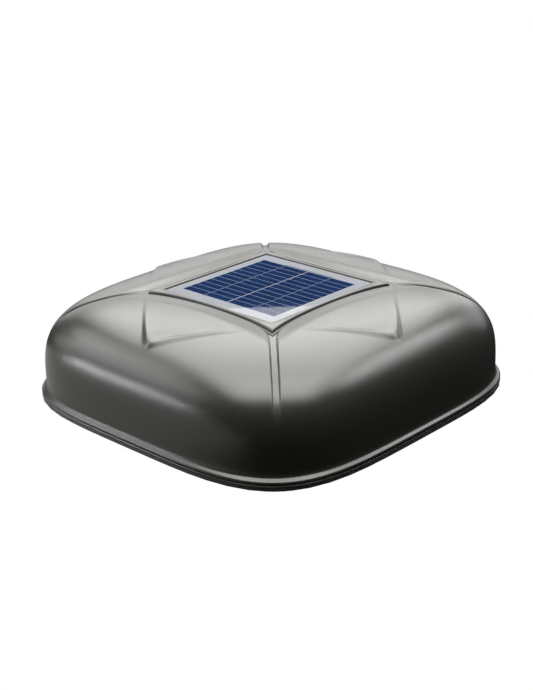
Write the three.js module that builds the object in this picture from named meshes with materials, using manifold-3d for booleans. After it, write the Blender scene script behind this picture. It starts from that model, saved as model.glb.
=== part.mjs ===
// Solar attic fan: a square pillow-shaped plastic hood with a solar panel set in its crown, a flashing with a
// round throat, and a direct-current motor that hangs over the throat and turns a five-bladed fan.
// Millimetres, +Z up. The origin is the centre of the flashing's underside, which lies on the roof deck.

import * as THREE from "three";
import { ParametricGeometry } from "three/addons/geometries/ParametricGeometry.js";
import { mergeVertices } from "three/addons/utils/BufferGeometryUtils.js";
import Module from "manifold-3d";

const wasm = await Module();
wasm.setup();

// ---------------------------------------------------------------- driving dimensions

const GAP = 0.3; // left between pieces that touch
const SHEET = 1.6; // flashing steel
const STRAP = 2.5; // bracket steel
const ROUND = 32; // facets on a large round piece
const SMALL_ROUND = 16; // facets on a small round piece

const HOOD_HALF = 320; // half the hood's width at its rim
const RIM_Z = 25; // underside of the rim above the roof deck
const CROWN = 178.5; // height of the hood's crown above the rim's underside
const WALL_RHO = 0.9785; // the hood wall's half-width as a share of the rim's
const HOOD_SKIN = 3.2;
const LEDGE_TOP = 24; // height where the wall turns out into the rim
const LEDGE_MID = 15.8; // height where the flare meets the rim's rounded ledge
const LEDGE_LOW = 12; // height where the rim's outer face starts
const LEDGE_INSET = 3; // how far the ledge's top lies inside the rim's face
const FLANGE_LOW = 5.4; // the hood's lower edge, just above the lower ring

const STAR_HALF = 142; // the crown frame's corners
const STAR_MID = 128; // the crown frame's sides where they curve in most
const PANEL_HALF = 120; // solar panel
const RECESS_HALF = PANEL_HALF + 1;
const WINDOW_HALF = 106; // opening under the panel
const GLASS_TOP = 174.3; // above the rim's underside, like every height in the hood section
const FRAME_LEVEL = GLASS_TOP + 1; // the crown frame beside the glass
const GLASS = 3.2;
const LAMINATE = 1;
const BACKSHEET = 0.8;
const GASKET = 2;
const RECESS_FLOOR = GLASS_TOP - GLASS - LAMINATE - BACKSHEET - GASKET;
const RECESS_SKIN = 3;

const FLASHING_HALF = 275;
const FLASHING_CORNER = 160;
const THROAT_R = 184;
const THROAT_SKIN = 2;
const THROAT_TOP = 72;
const TAB_R = THROAT_R + THROAT_SKIN + GAP; // brackets hug the throat from outside here

const SCREEN_HALF = 262;
const BOSS_R = 250; // hood bosses, on the diagonals
const BOSS_LOW = 70;
const BLADE_R = 176;
const BLADES = 5;
const FAN_Z = 53;
const BRACKET_Z = 84; // underside of the motor bracket
const MOTOR_R = 42;
const MOTOR_LOW = BRACKET_Z + STRAP;
const BELL = 8;
const CAN_LOW = MOTOR_LOW + BELL;
const CAN_TOP = 150;
const MOTOR_TOP = 160;
const SHAFT_R = 4;
const BEARING_R = 11;
const BEARING_WIDTH = 7;

// ---------------------------------------------------------------- materials

function finish(color, roughness, metalness, extra = {}) {
  return new THREE.MeshStandardMaterial({ color, roughness, metalness, ...extra });
}

const finishes = {
  hood: () => finish(0x6e706c, 0.4, 0.1),
  ring: () => finish(0x3a3b38, 0.5, 0.05),
  galvanised: () => finish(0xaab0b4, 0.4, 0.9),
  glass: () => finish(0xdfe8ee, 0.05, 0, { transparent: true, opacity: 0.35 }),
  cells: () => finish(0x16335f, 0.25, 0.2),
  backsheet: () => finish(0xe8eaec, 0.6, 0),
  rubber: () => finish(0x1b1b1b, 0.85, 0),
  blackPlastic: () => finish(0x202124, 0.5, 0),
  motorSteel: () => finish(0x54575a, 0.35, 0.9),
  aluminium: () => finish(0xc4c8cb, 0.35, 0.9),
  screwSteel: () => finish(0xb9bcc0, 0.3, 1),
  ferrite: () => finish(0x3a3a3d, 0.7, 0.2),
  laminations: () => finish(0x77797c, 0.5, 0.8),
  copper: () => finish(0xb06a3a, 0.35, 0.9),
  carbon: () => finish(0x2a2a2b, 0.8, 0.1),
};

const root = new THREE.Group();

// Adds a named piece to a group, the root unless another is given.
function piece(name, geometry, material, parent = root) {
  const mesh = new THREE.Mesh(geometry, finishes[material]());
  mesh.name = name;
  parent.add(mesh);
  return mesh;
}

// A group turned about +Z, added to the root.
function turned(degrees) {
  const group = new THREE.Group();
  group.rotation.z = THREE.MathUtils.degToRad(degrees);
  root.add(group);
  return group;
}

// ---------------------------------------------------------------- solids

function solidOf(geometry) {
  const bare = geometry.clone();
  for (const name of Object.keys(bare.attributes)) if (name !== "position") bare.deleteAttribute(name);
  const merged = mergeVertices(bare, 1e-4);
  return new wasm.Manifold(
    new wasm.Mesh({
      numProp: 3,
      vertProperties: merged.attributes.position.array,
      triVerts: new Uint32Array(merged.index.array),
    }),
  );
}

function geometryOf(solid) {
  const mesh = solid.getMesh();
  return new THREE.BufferGeometry()
    .setAttribute("position", new THREE.BufferAttribute(mesh.vertProperties, 3))
    .setIndex(new THREE.BufferAttribute(mesh.triVerts, 1));
}

function cut(geometry, ...tools) {
  return geometryOf(tools.reduce((left, tool) => left.subtract(solidOf(tool)), solidOf(geometry)));
}

function join(geometry, ...others) {
  return geometryOf(others.reduce((whole, other) => whole.add(solidOf(other)), solidOf(geometry)));
}

// ---------------------------------------------------------------- shapes

// A box from its lowest corner to its highest.
function block(x0, y0, z0, x1, y1, z1) {
  const middle = [(x0 + x1) / 2, (y0 + y1) / 2, (z0 + z1) / 2];
  return new THREE.BoxGeometry(x1 - x0, y1 - y0, z1 - z0).translate(...middle);
}

// A profile of [radius, height] pairs turned about +Z. The profile runs up its outside.
function turn(profile, segments = ROUND) {
  const points = profile.map(([r, z]) => new THREE.Vector2(r, z));
  return new THREE.LatheGeometry(points, segments).rotateX(Math.PI / 2);
}

function cylinder(radius, low, high, segments = ROUND) {
  return turn([[0, low], [radius, low], [radius, high], [0, high]], segments);
}

function tube(inner, outer, low, high, segments = ROUND) {
  return turn([[inner, low], [outer, low], [outer, high], [inner, high], [inner, low]], segments);
}

// Points a shape made about +Z along +X.
function alongX(geometry) {
  return geometry.rotateY(Math.PI / 2);
}

function extruded(shape, low, high, curveSegments = 8) {
  const options = { depth: high - low, bevelEnabled: false, curveSegments };
  return new THREE.ExtrudeGeometry(shape, options).translate(0, 0, low);
}

function roundedSquare(half, corner) {
  const shape = new THREE.Shape();
  const straight = half - corner;
  shape.absarc(straight, straight, corner, 0, Math.PI / 2);
  shape.absarc(-straight, straight, corner, Math.PI / 2, Math.PI);
  shape.absarc(-straight, -straight, corner, Math.PI, Math.PI * 1.5);
  shape.absarc(straight, -straight, corner, Math.PI * 1.5, Math.PI * 2);
  return shape;
}

// A round lead along a smooth curve through the points.
function lead(points, radius, steps) {
  const path = new THREE.CatmullRomCurve3(points.map((p) => new THREE.Vector3(...p)), false, "centripetal");
  const section = new THREE.Shape().absarc(0, 0, radius, 0, Math.PI * 2);
  const options = { steps, extrudePath: path, curveSegments: 4, bevelEnabled: false };
  return new THREE.ExtrudeGeometry(section, options);
}

// ---------------------------------------------------------------- the hood's form

const clamp01 = (t) => Math.min(1, Math.max(0, t));
const smooth = (t) => clamp01(t) ** 2 * (3 - 2 * clamp01(t));

// The hood's level curves are superellipses that are squarer near the rim.
const squareness = (rho) => 4.2 - 0.8 * Math.min(1, 2 * (1 - rho));

// Distance from the axis of the superellipse of half-width rho * HOOD_HALF at an angle.
function ovalRadius(rho, angle) {
  const n = squareness(rho);
  return rho * HOOD_HALF * (Math.abs(Math.cos(angle)) ** n + Math.abs(Math.sin(angle)) ** n) ** (-1 / n);
}

function rhoAt(x, y) {
  let rho = Math.max(Math.abs(x), Math.abs(y)) / HOOD_HALF;
  for (let i = 0; i < 5; i++) {
    const n = squareness(rho);
    rho = (Math.abs(x) ** n + Math.abs(y) ** n) ** (1 / n) / HOOD_HALF;
  }
  return rho;
}

// The smooth section: theta runs from 0 at the crown to 90 degrees at the foot of the wall.
const sectionRho = (theta) => WALL_RHO * Math.sin(theta) ** (2 / 3);
const sectionHeight = (theta) => CROWN * Math.cos(theta) ** 0.42;
const smoothHeight = (rho) => CROWN * Math.max(0, 1 - (rho / WALL_RHO) ** 3) ** 0.21;

// The crown frame's sides are arcs that curve in between its corners.
const STAR_ARC = ((STAR_HALF - STAR_MID) ** 2 + STAR_HALF ** 2) / (2 * (STAR_HALF - STAR_MID));
const STAR_CENTRE = STAR_MID + STAR_ARC;

// Distance from the axis of the curve that lies a given distance outside the crown frame's edge.
function starRadius(outside, angle) {
  const reach = STAR_CENTRE * foldedCos(angle);
  return reach - Math.sqrt(reach ** 2 - STAR_CENTRE ** 2 + (STAR_ARC - outside) ** 2);
}

// The cosine of the angle from the nearest side's middle.
function foldedCos(angle) {
  return Math.max(Math.abs(Math.cos(angle)), Math.abs(Math.sin(angle)));
}

const squareRadius = (half, angle) => half / foldedCos(angle);

// Step in each petal: a V with its point at the middle of the side, fading out towards the frame's corners.
const STEP_POINT = 270;
const STEP_HEIGHT = 4.8;
const STEP_WIDTH = 4.6;
const STEP_LIP = 16; // width of the fall behind the step's crest
const STEP_FALL = 0.5; // how much of the step's height that fall takes back
const STEP_LENGTH = 160;
const STEP_NOSE = 9;
const STEP_ARM = new THREE.Vector2(-0.95, 1).normalize();

function stepHeight(out, across) {
  const side = Math.hypot(across, STEP_NOSE) - STEP_NOSE;
  const inside = -(out - STEP_POINT) * STEP_ARM.y + side * STEP_ARM.x;
  const along = clamp01(((out - STEP_POINT) * STEP_ARM.x + side * STEP_ARM.y) / STEP_LENGTH);
  const share = (1 - along) ** 1.3;
  const face = STEP_WIDTH * share + 0.8;
  const fall = STEP_FALL * smooth((inside - face) / (STEP_LIP * share + 2));
  return STEP_HEIGHT * share * (smooth(inside / face) - fall);
}

const PETAL_LIFT = 2.6;
const PETAL_DIP = 1.6; // how far the petals fall below the smooth form beside the crown frame
const FRAME_GROOVE = 5;
const SEAM_GROOVE = 2.4;
const GROOVE_HALF = 1.9;

// Height of the moulded top surface, with its frame, grooves and petals, above the rim's underside.
function topHeight(x, y) {
  const [out, across] = [Math.max(Math.abs(x), Math.abs(y)), Math.min(Math.abs(x), Math.abs(y))];
  const rho = rhoAt(x, y);
  const base = smoothHeight(rho);
  const outside = STAR_ARC - Math.hypot(out - STAR_CENTRE, across);
  if (outside < 1) {
    const frame = THREE.MathUtils.lerp(FRAME_LEVEL, base, smooth((out - RECESS_HALF) / 18));
    return frame - FRAME_GROOVE * smooth((outside + GROOVE_HALF + 2) / 2);
  }
  const offSeam = (out - across) / Math.SQRT2;
  const channel = 4.6 - 3.6 * smooth((rho - 0.93) / 0.045);
  const petal = smooth((outside - GROOVE_HALF) / 5) * smooth((offSeam - channel) / 5);
  const dip = (PETAL_LIFT + PETAL_DIP) * (1 - smooth((outside - GROOVE_HALF) / 34));
  const lift = PETAL_LIFT * (1 - smooth((rho - 0.83) / 0.14)) + stepHeight(out, across) - dip;
  const seam = SEAM_GROOVE * (1 - smooth((rho - 0.93) / 0.047));
  const groove = THREE.MathUtils.lerp(FRAME_GROOVE, seam, smooth((outside - 1) / 7));
  return base + lift * petal - groove * (1 - petal);
}

// Angles round the hood: closer together at the seams, which lie on the diagonals.
const OCTANT = [0, 5, 10.5, 16.5, 22.5, 28, 33.5, 38.5, 42.2, 43.8, 45].map(THREE.MathUtils.degToRad);
const AROUND = 8 * (OCTANT.length - 1);

function angleAt(step) {
  const per = OCTANT.length - 1;
  const octant = Math.floor(step / per);
  const within = step % per;
  const start = octant * Math.PI / 4;
  return octant % 2 ? start + Math.PI / 4 - OCTANT[per - within] : start + OCTANT[within];
}

// A closed ring: each station gives [distance from the axis, height] at an angle, in order round the section.
function ringOf(stations) {
  const place = (u, v, target) => {
    const angle = angleAt(Math.round(v * AROUND));
    const [r, z] = stations[Math.round(u * stations.length) % stations.length](angle);
    target.set(r * Math.cos(angle), r * Math.sin(angle), z);
  };
  return new ParametricGeometry(place, stations.length, AROUND);
}

const level = (radius, z) => (angle) => [radius(angle), z];

function onTop(radius) {
  return (angle) => {
    const r = radius(angle);
    return [r, RIM_Z + topHeight(r * Math.cos(angle), r * Math.sin(angle))];
  };
}

const insetRim = (inset) => (angle) => ovalRadius((HOOD_HALF - inset) / HOOD_HALF, angle);

function hood() {
  const floor = RIM_Z + RECESS_FLOOR;
  const window = (angle) => squareRadius(WINDOW_HALF, angle);
  const recess = (angle) => squareRadius(RECESS_HALF, angle);
  const frameEdge = (outside) => (angle) => starRadius(outside, angle);
  const degrees = THREE.MathUtils.degToRad;
  const shoulder = [32, 34.5, 37, 39.5, 42, 44, 46, 48, 50, 52, 54.5, 60, 66, 72, 78, 83, 87].map(degrees);
  const inner = [89.4, 85, 78, 68, 54, 42].map(degrees);
  const between = (share) => (angle) => {
    return THREE.MathUtils.lerp(starRadius(7, angle), ovalRadius(sectionRho(shoulder[0]), angle), share);
  };
  const skinInside = (theta) => (angle) => [
    ovalRadius(sectionRho(theta), angle) - HOOD_SKIN,
    RIM_Z + Math.max(LEDGE_TOP + 2, sectionHeight(theta) - 2 * HOOD_SKIN * Math.cos(theta) ** 0.3),
  ];
  const stations = [
    level(window, floor),
    level(recess, floor),
    onTop(recess),
    ...[-GROOVE_HALF - 2, -GROOVE_HALF, GROOVE_HALF, 7].map((outside) => onTop(frameEdge(outside))),
    onTop(between(0.35)),
    onTop(between(0.7)),
    ...shoulder.map((theta) => onTop((angle) => ovalRadius(sectionRho(theta), angle))),
    level((angle) => ovalRadius(WALL_RHO, angle), RIM_Z + LEDGE_TOP),
    level(insetRim(LEDGE_INSET), RIM_Z + LEDGE_MID),
    level(insetRim(0), RIM_Z + LEDGE_LOW),
    level(insetRim(0), RIM_Z + FLANGE_LOW),
    level(insetRim(3.8), RIM_Z + FLANGE_LOW),
    level(insetRim(3.8), RIM_Z + LEDGE_LOW - 3.5),
    ...inner.map(skinInside),
    level(frameEdge(8), floor - RECESS_SKIN),
    level(window, floor - RECESS_SKIN),
  ];
  const shell = ringOf(stations);
  const bosses = [];
  const pilots = [];
  for (const [sx, sy] of [[1, 1], [-1, 1], [-1, -1], [1, -1]]) {
    const [x, y] = [sx * BOSS_R / Math.SQRT2, sy * BOSS_R / Math.SQRT2];
    const top = RIM_Z + topHeight(x, y) - 3;
    const profile = [[0, BOSS_LOW + GAP], [9, BOSS_LOW + GAP], [13, top], [0, top]];
    bosses.push(turn(profile, SMALL_ROUND).translate(x, y, 0));
    pilots.push(cylinder(2.5, BOSS_LOW - 1, BOSS_LOW + 26, 8).translate(x, y, 0));
  }
  return cut(join(shell, ...bosses), ...pilots);
}

// The ring that closes the hood's rim from below and carries the screen.
function lowerRing() {
  const section = [[64, 0], [64, 3], [7, 3], [7, 8.2], [4.6, 8.2], [4.6, 4.8], [0, 4.8], [0, 0]];
  return ringOf(section.map(([inset, z]) => level(insetRim(inset), RIM_Z + z)));
}

// A band of slotted sheet that keeps insects and leaves out of the exhaust gap.
function screenBand() {
  const [low, high] = [SHEET + GAP, RIM_Z - GAP];
  const inset = HOOD_HALF - SCREEN_HALF;
  const section = [[inset, high], [inset - 1.2, high], [inset - 1.2, low], [inset, low]];
  const band = ringOf(section.map(([d, z]) => level(insetRim(d), z)));
  const slots = [];
  for (let i = -4; i <= 4; i++) {
    const slot = block(SCREEN_HALF - 6, i * 38 - 14, low + 4, SCREEN_HALF + 6, i * 38 + 14, high - 4);
    for (let side = 0; side < 4; side++) slots.push(slot.clone().rotateZ(side * Math.PI / 2));
  }
  return cut(band, ...slots);
}

// ---------------------------------------------------------------- flashing and brackets

const BRACKET_RIVET_Z = 52;
const MOTOR_RIVET_Z = 60;

function flashing() {
  const plate = roundedSquare(FLASHING_HALF, FLASHING_CORNER);
  plate.holes.push(new THREE.Path().absarc(0, 0, THROAT_R + 1, 0, Math.PI * 2, true));
  const throat = tube(THROAT_R, THROAT_R + THROAT_SKIN, 0, THROAT_TOP, 48);
  const drills = [];
  for (let k = 0; k < 8; k++) {
    const z = k % 2 ? BRACKET_RIVET_Z : MOTOR_RIVET_Z;
    const drill = alongX(cylinder(2.7, THROAT_R - 6, THROAT_R + 8, 8)).translate(0, 0, z);
    drills.push(drill.rotateZ(k * Math.PI / 4));
    const nail = cylinder(2.5, -1, SHEET + 1, 8).translate(FLASHING_HALF - 14, k % 2 ? 85 : -85, 0);
    drills.push(nail.rotateZ(Math.floor(k / 2) * Math.PI / 2));
  }
  return cut(join(extruded(plate, 0, SHEET, 12), throat), ...drills);
}

// A rivet along +X through the throat and a tab outside it.
function rivet() {
  const [tail, inner] = [THROAT_R - 2.6, THROAT_R - 0.6];
  const [outer, head] = [TAB_R + STRAP + GAP, TAB_R + STRAP + 2.8];
  const profile = [
    [0, tail], [4, tail], [4, inner], [2.3, inner],
    [2.3, outer], [5, outer], [3.5, head], [0, head],
  ];
  return alongX(turn(profile, 10));
}

// Holds the hood: a leg riveted to the throat and an arm that reaches out under the hood's boss.
function hoodBracket() {
  const leg = block(TAB_R, -20, 38, TAB_R + STRAP, 20, BOSS_LOW);
  const arm = block(TAB_R, -20, BOSS_LOW - STRAP, BOSS_R + 16, 20, BOSS_LOW);
  const screwHole = cylinder(2.7, BOSS_LOW - 10, BOSS_LOW + 10, 8).translate(BOSS_R, 0, 0);
  const rivetHole = alongX(cylinder(2.7, TAB_R - 10, TAB_R + 10, 8)).translate(0, 0, BRACKET_RIVET_Z);
  return cut(join(leg, arm), screwHole, rivetHole);
}

// A pan-head screw that points up, its head's seat at the given height.
function screw(radius, headRadius, headHeight, seat, tip) {
  const profile = [
    [0, seat - headHeight], [headRadius * 0.8, seat - headHeight], [headRadius, seat - headHeight * 0.6],
    [headRadius, seat], [radius, seat], [radius, tip], [0, tip],
  ];
  return turn(profile, 12);
}

// ---------------------------------------------------------------- solar panel

function square(half, low, high) {
  return block(-half, -half, low, half, half, high);
}

function frameOf(outer, inner, low, high) {
  return cut(square(outer, low, high), square(inner, low - 1, high + 1));
}

const JUNCTION = { x: 32, y: 25, deep: 14, lid: 2.2, skin: 2 };
const PANEL_BACK = RIM_Z + RECESS_FLOOR + GASKET;

function junctionBox() {
  const { x, y, deep, skin } = JUNCTION;
  const top = PANEL_BACK - GAP;
  const body = block(-x, -y, top - deep, x, y, top);
  const hollow = block(-x + skin, -y + skin, top - deep - 1, x - skin, y - skin, top - skin);
  const leadHole = alongX(cylinder(3, -x - 5, -x + 5, 8)).translate(0, 0, top - 7);
  return cut(body, hollow, leadHole);
}

function junctionLid() {
  const { x, y, deep, lid } = JUNCTION;
  const top = PANEL_BACK - GAP - deep - GAP;
  const shape = roundedSquare(1, 0.12);
  return extruded(shape, top - lid, top, 3).scale(x, y, 1);
}

// ---------------------------------------------------------------- motor

const MOUNT_R = 30; // circle of the motor's three mounting screws
const SPOKE = 13; // half-width of the motor bracket's arms

function motorBracket() {
  const disc = cylinder(52, BRACKET_Z, BRACKET_Z + STRAP);
  const parts = [];
  for (let side = 0; side < 4; side++) {
    const arm = block(40, -SPOKE, BRACKET_Z, TAB_R + STRAP, SPOKE, BRACKET_Z + STRAP);
    const tab = block(TAB_R, -SPOKE, 46, TAB_R + STRAP, SPOKE, BRACKET_Z + STRAP);
    parts.push(arm.rotateZ(side * Math.PI / 2), tab.rotateZ(side * Math.PI / 2));
  }
  const holes = [cylinder(17, BRACKET_Z - 5, BRACKET_Z + 8, SMALL_ROUND)];
  for (let side = 0; side < 4; side++) {
    const hole = alongX(cylinder(2.7, TAB_R - 10, TAB_R + 10, 8)).translate(0, 0, MOTOR_RIVET_Z);
    holes.push(hole.rotateZ(side * Math.PI / 2));
  }
  for (let k = 0; k < 3; k++) holes.push(mountHole(2.6, k));
  return cut(join(disc, ...parts), ...holes);
}

const mountAngle = (k) => Math.PI / 4 + k * 2 * Math.PI / 3;

function mountHole(radius, k) {
  return cylinder(radius, BRACKET_Z - 5, CAN_LOW - 1.5, 8).translate(MOUNT_R, 0, 0).rotateZ(mountAngle(k));
}

function frontBell() {
  const profile = [
    [SHAFT_R + 1, MOTOR_LOW + GAP], [MOTOR_R, MOTOR_LOW + GAP], [MOTOR_R, CAN_LOW - GAP],
    [39.6, CAN_LOW - GAP], [39.6, CAN_LOW + 3], [36, CAN_LOW + 3], [36, CAN_LOW], [BEARING_R + GAP, CAN_LOW],
    [BEARING_R + GAP, CAN_LOW + GAP - BEARING_WIDTH], [SHAFT_R + 1, CAN_LOW + GAP - BEARING_WIDTH],
    [SHAFT_R + 1, MOTOR_LOW + GAP],
  ];
  return cut(turn(profile), ...[0, 1, 2].map((k) => mountHole(2.4, k)));
}

function rearBell() {
  const seat = CAN_TOP + BEARING_WIDTH + 2 * GAP;
  const profile = [
    [0, MOTOR_TOP], [0, seat], [BEARING_R + GAP, seat], [BEARING_R + GAP, CAN_TOP], [36, CAN_TOP],
    [36, CAN_TOP - 3], [39.6, CAN_TOP - 3], [39.6, CAN_TOP + GAP], [MOTOR_R, CAN_TOP + GAP],
    [MOTOR_R, MOTOR_TOP - 3], [MOTOR_R - 3, MOTOR_TOP], [0, MOTOR_TOP],
  ];
  const leadHole = alongX(cylinder(3, -MOTOR_R - 5, -MOTOR_R + 8, 8)).translate(0, 0, CAN_TOP + 5);
  return cut(turn(profile), leadHole);
}

const CORE = { r: 33.4, low: 102, high: 134, slots: 10 };

// A slot of the armature: a deep box cut or filled radially.
function slotBox(halfWidth, low, high, outer) {
  return block(15, -halfWidth, low, outer, halfWidth, high);
}

function round(count, make) {
  return Array.from({ length: count }, (_, k) => make(k).rotateZ(k * 2 * Math.PI / count));
}

function armatureCore() {
  const body = tube(SHAFT_R + 0.1, CORE.r, CORE.low, CORE.high, 40);
  return cut(body, ...round(CORE.slots, () => slotBox(2.4, CORE.low - 1, CORE.high + 1, CORE.r + 2)));
}

function armatureWinding() {
  const ends = [CORE.low - 4.5, CORE.high + GAP].map((low) => tube(14, 30, low, low + 4.2, 40));
  const bars = round(CORE.slots, () => slotBox(2, CORE.low - 2, CORE.high + 2, 29));
  return join(ends[0], ends[1], ...bars);
}

// One of the two arc magnets, spanning most of a half turn inside the can.
function magnet() {
  const [inner, outer, span] = [34.6, MOTOR_R - 2 - GAP, THREE.MathUtils.degToRad(65)];
  const shape = new THREE.Shape();
  shape.absarc(0, 0, outer, -span, span, false);
  shape.absarc(0, 0, inner, span, -span, true);
  return extruded(shape, CORE.low - 2, CORE.high + 2, 10);
}

const BRUSH_Z = 143;
const COMMUTATOR_R = 10;

function brushHolder() {
  const plate = tube(13.5, 35.4, BRUSH_Z + 3.2, BRUSH_Z + 5.4);
  const boxes = [0, 1].map((k) => {
    const box = block(14, -5, BRUSH_Z - 3.6, 26, 5, BRUSH_Z + 4);
    return cut(box, block(12, -3.3, BRUSH_Z - 2.3, 24, 3.3, BRUSH_Z + 2.3)).rotateZ(k * Math.PI);
  });
  return join(plate, ...boxes);
}

// ---------------------------------------------------------------- fan

const PITCH = THREE.MathUtils.degToRad(28);
const ARM_REACH = 76;

function fanHub() {
  const barrel = tube(SHAFT_R + 0.1, 15, FAN_Z - 11, FAN_Z + 11, SMALL_ROUND * 2);
  const arm = () => block(10, -12, -3, ARM_REACH, 12, 0).rotateX(PITCH).translate(0, 0, FAN_Z);
  const arms = round(BLADES, arm);
  const bore = cylinder(SHAFT_R + 0.1, FAN_Z - 20, FAN_Z + 20, SMALL_ROUND * 2);
  const setHole = alongX(cylinder(2.6, 0, 20, 8)).rotateZ(Math.PI / BLADES).translate(0, 0, FAN_Z + 7);
  return cut(join(barrel, ...arms), bore, setHole);
}

// A pitched, cambered sheet blade along +X, widening towards a rounded tip.
function blade() {
  const [rootR, thick] = [40, 1.8];
  const sheet = new THREE.BoxGeometry(1, 1, 1, 9, 4, 1);
  const position = sheet.attributes.position;
  for (let i = 0; i < position.count; i++) {
    const share = position.getX(i) + 0.5;
    const side = position.getY(i) * 2;
    const chord = 64 + 56 * Math.sin(share * Math.PI / 2);
    const tip = 10 * Math.abs(side) ** 3 * smooth((share - 0.6) / 0.4);
    const r = rootR + (BLADE_R - rootR) * share - tip;
    const free = smooth((r - ARM_REACH) / 60);
    const across = side * chord / 2;
    const up = GAP + thick * (position.getZ(i) + 0.5) - 7 * free * (side ** 2 - 0.2);
    const angle = PITCH - THREE.MathUtils.degToRad(7) * free;
    const reach = Math.sqrt(Math.max(0, r ** 2 - (across * Math.cos(angle)) ** 2));
    position.setXYZ(
      i,
      share < 0.25 ? r : THREE.MathUtils.lerp(r, reach, smooth((share - 0.25) / 0.5)),
      across * Math.cos(angle) - up * Math.sin(angle),
      FAN_Z + across * Math.sin(angle) + up * Math.cos(angle),
    );
  }
  return sheet;
}

// ---------------------------------------------------------------- thermostat

const THERMOSTAT = { x: -110, z: 106 };

function thermostatBracket() {
  const { x } = THERMOSTAT;
  const foot = block(x - 12, -11, MOTOR_LOW + GAP, x + 14, 11, MOTOR_LOW + GAP + 1.5);
  const plate = block(x + 12.5, -11, MOTOR_LOW + GAP, x + 14, 11, 120);
  const seat = alongX(cylinder(7, x, x + 30, SMALL_ROUND)).translate(0, 0, THERMOSTAT.z);
  return cut(join(foot, plate), seat);
}

function thermostat() {
  const face = THERMOSTAT.x + 14 + GAP;
  const profile = [
    [0, face - 5], [6.6, face - 5], [6.6, face], [9.5, face], [9.5, face + 2], [8, face + 2], [8, face + 10],
    [0, face + 10],
  ];
  const body = alongX(turn(profile, SMALL_ROUND)).translate(0, 0, THERMOSTAT.z);
  const blades = [-4, 4].map((y) => {
    return block(face + 8, y - 2.4, THERMOSTAT.z - 0.5, face + 18, y + 2.4, THERMOSTAT.z + 0.5);
  });
  return join(body, ...blades);
}

// ---------------------------------------------------------------- assembly

piece("dome_hood", hood(), "hood");
piece("lower_ring", lowerRing(), "ring");
piece("exhaust_screen", screenBand(), "galvanised");
piece("base_flashing", flashing(), "galvanised");

for (let k = 0; k < 4; k++) {
  const corner = turned(45 + 90 * k);
  piece(`hood_bracket_${k + 1}`, hoodBracket(), "galvanised", corner);
  const hoodScrew = screw(2.2, 5, 3.4, BOSS_LOW - STRAP - GAP, BOSS_LOW + 18).translate(BOSS_R, 0, 0);
  piece(`hood_screw_${k + 1}`, hoodScrew, "screwSteel", corner);
  piece(`hood_bracket_rivet_${k + 1}`, rivet().translate(0, 0, BRACKET_RIVET_Z), "aluminium", corner);
  const side = turned(90 * k);
  piece(`motor_bracket_rivet_${k + 1}`, rivet().translate(0, 0, MOTOR_RIVET_Z), "aluminium", side);
}

const glassTop = RIM_Z + GLASS_TOP;
const glassLow = glassTop - GLASS;
piece("panel_glass", square(PANEL_HALF, glassLow, glassTop), "glass");
piece("cell_laminate", square(PANEL_HALF - 1, glassLow - LAMINATE, glassLow), "cells");
piece("panel_backsheet", square(PANEL_HALF, PANEL_BACK, glassLow - LAMINATE), "backsheet");
piece("panel_gasket", frameOf(PANEL_HALF, WINDOW_HALF + 3, RIM_Z + RECESS_FLOOR, PANEL_BACK), "rubber");
piece("junction_box", junctionBox(), "blackPlastic");
piece("junction_box_lid", junctionLid(), "blackPlastic");

piece("motor_bracket", motorBracket(), "galvanised");
piece("motor_can", tube(MOTOR_R - 2, MOTOR_R, CAN_LOW, CAN_TOP), "motorSteel");
piece("motor_front_bell", frontBell(), "aluminium");
piece("motor_rear_bell", rearBell(), "blackPlastic");
const bearingLows = { front: CAN_LOW + 2 * GAP - BEARING_WIDTH, rear: CAN_TOP + GAP };
for (const [end, low] of Object.entries(bearingLows)) {
  const high = low + BEARING_WIDTH;
  piece(`${end}_bearing_outer`, tube(6.8, BEARING_R, low, high, SMALL_ROUND * 2), "screwSteel");
  piece(`${end}_bearing_inner`, tube(SHAFT_R + 0.1, 6.4, low, high, SMALL_ROUND * 2), "screwSteel");
}
for (let k = 0; k < 2; k++) {
  const half = turned(180 * k);
  piece(`magnet_${k + 1}`, magnet(), "ferrite", half);
  piece(`brush_${k + 1}`, block(COMMUTATOR_R + 0.3, -3, BRUSH_Z - 2, 23.5, 3, BRUSH_Z + 2), "carbon", half);
}
piece("brush_holder", brushHolder(), "blackPlastic");
for (let k = 0; k < 3; k++) {
  const mount = turned(THREE.MathUtils.radToDeg(mountAngle(k)));
  piece(`motor_screw_${k + 1}`, screw(2, 4, 2.8, BRACKET_Z - GAP, CAN_LOW - 2).translate(MOUNT_R, 0, 0),
    "screwSteel", mount);
}

const shaftTop = bearingLows.rear + BEARING_WIDTH;
piece("motor_shaft", cylinder(SHAFT_R, FAN_Z - 16, shaftTop, SMALL_ROUND * 2), "screwSteel");
piece("armature_core", armatureCore(), "laminations");
piece("armature_winding", armatureWinding(), "copper");
piece("commutator", tube(SHAFT_R + 0.1, COMMUTATOR_R, CORE.high + 5, BRUSH_Z + 4, SMALL_ROUND * 2), "copper");
piece("fan_hub", fanHub(), "aluminium");
for (let k = 0; k < BLADES; k++) piece(`fan_blade_${k + 1}`, blade(), "aluminium", turned(k * 360 / BLADES));
const setScrew = alongX(cylinder(2.3, SHAFT_R + GAP, 14.6, 8)).translate(0, 0, FAN_Z + 7);
piece("hub_set_screw", setScrew, "screwSteel", turned(180 / BLADES));

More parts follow.
